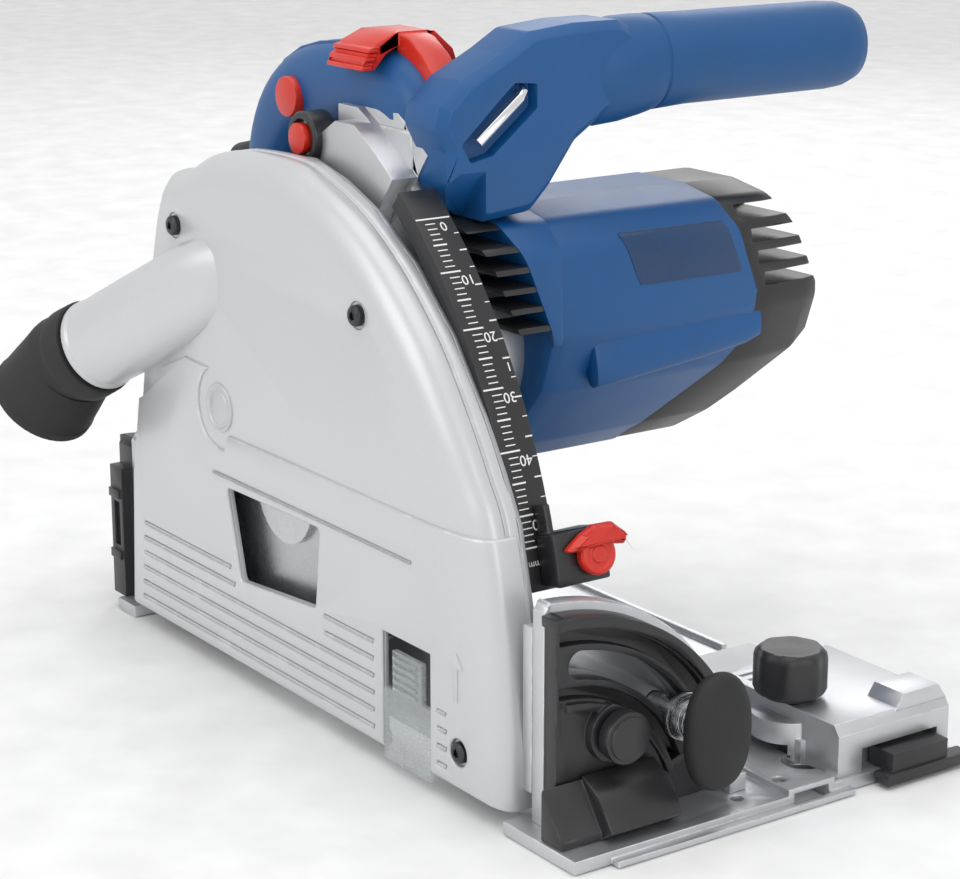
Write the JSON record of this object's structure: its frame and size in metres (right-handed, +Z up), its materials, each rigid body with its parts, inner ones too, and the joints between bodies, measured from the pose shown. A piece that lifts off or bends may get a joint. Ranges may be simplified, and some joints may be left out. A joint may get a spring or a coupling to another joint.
{
  "type": "track plunge saw",
  "caption": "Corded plunge saw for a guide rail: base plate, tilting guard, sprung plunging arm with motor and blade, depth scale, dust port, main and front handles.",
  "frame": {"origin": "on the sole plane, above the middle of the base length, 31 mm from the blade plane towards the motor", "axes": "+X along the cut, forwards; +Y towards the motor; +Z up"},
  "size_m": [0.3814, 0.2921, 0.27],
  "materials": {
    "base_plate": "cast, satin",
    "fence_platform": "cast, satin",
    "front_bracket": "cast, satin",
    "front_cover": "moulded, fine grain",
    "bevel_button": "moulded, fine grain",
    "foot_lever": "moulded, fine grain",
    "rear_bracket": "cast, satin",
    "rear_cover": "moulded, fine grain",
    "fence_knob_front": "moulded, fine grain",
    "fence_knob_rear": "moulded, fine grain",
    "rail_cam_front": "moulded, fine grain",
    "rail_cam_rear": "moulded, fine grain",
    "rail_catch": "moulded, fine grain",
    "guard": "fine silver paint",
    "guard_plate": "cast, satin",
    "guard_screws": "machined",
    "guard_badge": "polished",
    "dust_pipe": "fine silver paint",
    "dust_sleeve": "soft matt",
    "view_window": "clear plastic",
    "depth_scale": "dark anodised band",
    "depth_stop": "moulded, fine grain",
    "depth_clamp": "moulded, fine grain",
    "tilt_frame": "cast, satin",
    "tilt_bolts": "machined",
    "wing_knob_front": "moulded, fine grain",
    "wing_knob_rear": "moulded, fine grain",
    "pivot_shaft": "machined",
    "arm_casting": "cast, satin",
    "gear_cover": "cast, satin",
    "return_spring": "machined",
    "spindle_lock": "moulded, fine grain",
    "spindle": "machined",
    "blade": "machined",
    "flanges": "machined",
    "blade_bolt": "machined",
    "gear_wheel": "machined",
    "idler_gear": "machined",
    "idler_axle": "machined",
    "motor_shaft": "machined",
    "armature": "machined",
    "commutator": "copper segments",
    "fan": "moulded, fine grain",
    "stator": "machined",
    "brushes": "moulded, fine grain",
    "bearings": "machined",
    "motor_housing": "moulded, fine grain",
    "front_grille": "moulded, fine grain",
    "end_cap": "moulded, fine grain",
    "electronics": "moulded, fine grain",
    "main_handle": "moulded, fine grain",
    "trigger": "moulded, fine grain",
    "lockoff": "moulded, fine grain",
    "switch_body": "moulded, fine grain",
    "speed_wheel": "moulded, fine grain",
    "cord_gland": "soft matt",
    "aux_handle": "moulded, fine grain",
    "aux_joint": "moulded, fine grain",
    "hex_key": "polished"
  },
  "bodies": {
    "base": {"base_plate": "base_plate", "fence_platform": "fence_platform", "front_bracket": "front_bracket", "front_cover": "front_cover", "foot_lever": "foot_lever", "rear_bracket": "rear_bracket", "rear_cover": "rear_cover"},
    "bevel_button": {"bevel_button": "bevel_button"},
    "fence_knob_front": {"fence_knob_front": "fence_knob_front"},
    "fence_knob_rear": {"fence_knob_rear": "fence_knob_rear"},
    "rail_cam_front": {"rail_cam_front": "rail_cam_front"},
    "rail_cam_rear": {"rail_cam_rear": "rail_cam_rear"},
    "rail_catch": {"rail_catch": "rail_catch"},
    "head": {"guard": "guard", "guard_plate": "guard_plate", "guard_screws": "guard_screws", "guard_badge": "guard_badge", "dust_pipe": "dust_pipe", "depth_scale": "depth_scale", "tilt_frame": "tilt_frame", "tilt_bolts": "tilt_bolts", "pivot_shaft": "pivot_shaft"},
    "dust_sleeve": {"dust_sleeve": "dust_sleeve"},
    "view_window": {"view_window": "view_window"},
    "depth_stop": {"depth_stop": "depth_stop"},
    "depth_clamp": {"depth_clamp": "depth_clamp"},
    "wing_knob_front": {"wing_knob_front": "wing_knob_front"},
    "wing_knob_rear": {"wing_knob_rear": "wing_knob_rear"},
    "arm": {"arm_casting": "arm_casting", "gear_cover": "gear_cover", "return_spring": "return_spring", "idler_axle": "idler_axle", "stator": "stator", "brushes": "brushes", "bearings": "bearings", "motor_housing": "motor_housing", "front_grille": "front_grille", "end_cap": "end_cap", "electronics": "electronics", "main_handle": "main_handle", "switch_body": "switch_body", "cord_gland": "cord_gland", "aux_handle": "aux_handle", "aux_joint": "aux_joint"},
    "spindle": {"spindle": "spindle", "blade": "blade", "flanges": "flanges", "blade_bolt": "blade_bolt", "gear_wheel": "gear_wheel"},
    "idler": {"idler_gear": "idler_gear"},
    "rotor": {"motor_shaft": "motor_shaft", "armature": "armature", "commutator": "commutator", "fan": "fan"},
    "trigger": {"trigger": "trigger"},
    "lockoff": {"lockoff": "lockoff"},
    "spindle_lock": {"spindle_lock": "spindle_lock"},
    "speed_wheel": {"speed_wheel": "speed_wheel"},
    "hex_key": {"hex_key": "hex_key"}
  },
  "joints": [
    {"name": "bevel_tilt", "type": "hinge", "parent": "base", "child": "head", "pos_m": [0, -0.031, 0], "axis": [1, 0, 0], "range_deg": [-1, 47]},
    {"name": "plunge", "type": "hinge", "parent": "head", "child": "arm", "pos_m": [-0.117, 0, 0.036], "axis": [0, 1, 0], "range_deg": [0, 36.5], "stiffness_Nm_per_rad": 4.5, "springref_deg": -63.03},
    {"name": "blade_spin", "type": "hinge", "parent": "arm", "child": "spindle", "pos_m": [-0.03178, -0.031, 0.086], "axis": [0, 1, 0], "continuous": true},
    {"name": "idler_spin", "type": "hinge", "parent": "arm", "child": "idler", "pos_m": [-0.01724, 0, 0.1211], "axis": [0, 1, 0], "continuous": true},
    {"name": "motor_spin", "type": "hinge", "parent": "arm", "child": "rotor", "pos_m": [-0.00729, 0, 0.14512], "axis": [0, 1, 0], "continuous": true},
    {"name": "trigger_pull", "type": "slide", "parent": "arm", "child": "trigger", "axis": [0, 0, 1], "range_m": [0, 0.004], "stiffness_N_per_m": 800, "springref_m": -0.003},
    {"name": "lockoff_slide", "type": "slide", "parent": "arm", "child": "lockoff", "axis": [1, 0, 0], "range_m": [0, 0.004], "stiffness_N_per_m": 500, "springref_m": -0.003},
    {"name": "spindle_lock_press", "type": "slide", "parent": "arm", "child": "spindle_lock", "axis": [0, 1, 0], "range_m": [0, 0.0017], "stiffness_N_per_m": 800, "springref_m": -0.003},
    {"name": "speed_dial", "type": "hinge", "parent": "arm", "child": "speed_wheel", "pos_m": [-0.072, 0, 0.235], "axis": [0, 1, 0], "range_deg": [-150, 150]},
    {"name": "hex_key_pull", "type": "slide", "parent": "arm", "child": "hex_key", "axis": [1, 0, 0], "range_m": [0, 0.03]},
    {"name": "depth_stop_set", "type": "hinge", "parent": "head", "child": "depth_stop", "pos_m": [-0.117, 0, 0.036], "axis": [0, 1, 0], "range_deg": [-30, 1.5]},
    {"name": "depth_clamp_turn", "type": "hinge", "parent": "depth_stop", "child": "depth_clamp", "pos_m": [0.10646, 0.004, 0.09047], "axis": [0.9715, 0, 0.2368], "range_deg": [-60, 60]},
    {"name": "front_knob_turn", "type": "hinge", "parent": "head", "child": "wing_knob_front", "pos_m": [0.15, 0.02372, 0.03691], "axis": [1, 0, 0], "range_deg": [-120, 120]},
    {"name": "rear_knob_turn", "type": "hinge", "parent": "head", "child": "wing_knob_rear", "pos_m": [-0.18, 0.02372, 0.03691], "axis": [1, 0, 0], "range_deg": [-120, 120]},
    {"name": "dust_sleeve_turn", "type": "hinge", "parent": "head", "child": "dust_sleeve", "pos_m": [-0.076, -0.025, 0.168], "axis": [-0.8348, -0.2875, -0.4695], "range_deg": [-90, 90]},
    {"name": "window_slide", "type": "slide", "parent": "head", "child": "view_window", "axis": [0, 0, 1], "range_m": [0, 0.0055]},
    {"name": "bevel_button_press", "type": "slide", "parent": "base", "child": "bevel_button", "axis": [-1, 0, 0], "range_m": [0, 0.0017], "stiffness_N_per_m": 800, "springref_m": -0.003},
    {"name": "fence_knob_front_turn", "type": "hinge", "parent": "base", "child": "fence_knob_front", "pos_m": [0.132, 0.0875, 0], "axis": [0, 0, 1], "range_deg": [-180, 180]},
    {"name": "fence_knob_rear_turn", "type": "hinge", "parent": "base", "child": "fence_knob_rear", "pos_m": [-0.104, 0.1175, 0], "axis": [0, 0, 1], "range_deg": [-180, 180]},
    {"name": "rail_cam_front_turn", "type": "hinge", "parent": "base", "child": "rail_cam_front", "pos_m": [0.076, 0.06738, 0], "axis": [0, 0, 1], "range_deg": [-45, 45]},
    {"name": "rail_cam_rear_turn", "type": "hinge", "parent": "base", "child": "rail_cam_rear", "pos_m": [-0.138, 0.06738, 0], "axis": [0, 0, 1], "range_deg": [-45, 45]},
    {"name": "rail_catch_slide", "type": "slide", "parent": "base", "child": "rail_catch", "axis": [0, -1, 0], "range_m": [0, 0.006]}
  ],
  "couplings": [
    {"joint": "idler_spin", "follows": "blade_spin", "ratio": -0.9},
    {"joint": "motor_spin", "follows": "blade_spin", "ratio": 3}
  ]
}
